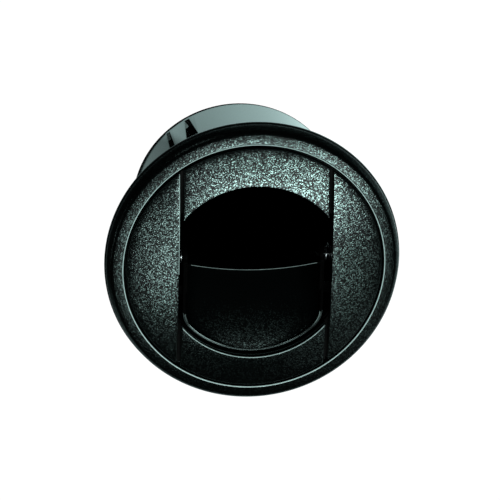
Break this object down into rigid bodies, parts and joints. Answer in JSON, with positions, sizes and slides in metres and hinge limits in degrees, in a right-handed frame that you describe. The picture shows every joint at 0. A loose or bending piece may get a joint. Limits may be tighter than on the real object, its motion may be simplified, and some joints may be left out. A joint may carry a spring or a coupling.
{
  "type": "desk grommet",
  "caption": "Round black desk grommet: a flanged tube with a domed lift-out cap, an open cord passage and a sprung finger scoop.",
  "frame": {"origin": "on the tube's axis, in the plane of the tube's open lower end", "axes": "+Z along the tube, out of the worktop; +Y towards the top band, where the cord passage is; +X towards the right side plate"},
  "size_m": [0.087, 0.087, 0.0561],
  "materials": {
    "liner_plastic": "smooth gloss tube, grained flange",
    "grained_plastic": "fine sparkling grain",
    "carrier_plastic": "smooth",
    "steel": "bright zinc",
    "black_steel": "black oxide",
    "rubber": "matte"
  },
  "bodies": {
    "liner": {"liner": "liner_plastic"},
    "cap": {"cap_carrier": "carrier_plastic", "left_side_plate": "grained_plastic", "right_side_plate": "grained_plastic", "top_band": "grained_plastic", "bottom_band": "grained_plastic", "hinge_pin_left": "black_steel", "hinge_pin_right": "black_steel", "pivot_washer_left": "steel", "pivot_washer_right": "steel", "return_spring_left": "steel", "return_spring_right": "steel", "stop_bumper_left": "rubber", "stop_bumper_right": "rubber", "plate_screw_left_upper": "steel", "plate_screw_left_lower": "steel", "plate_screw_right_upper": "steel", "plate_screw_right_lower": "steel", "band_screw_top": "steel", "band_screw_bottom": "steel"},
    "scoop": {"finger_scoop": "grained_plastic"}
  },
  "joints": [
    {"name": "cap_lift", "type": "slide", "parent": "liner", "child": "cap", "axis": [0, 0, 1], "range_m": [0, 0.045]},
    {"name": "scoop_hinge", "type": "hinge", "parent": "cap", "child": "scoop", "pos_m": [0, 0.0026, 0.0484], "axis": [1, 0, 0], "range_deg": [0, 75], "stiffness_Nm_per_rad": 0.002, "springref_deg": -28.65}
  ]
}
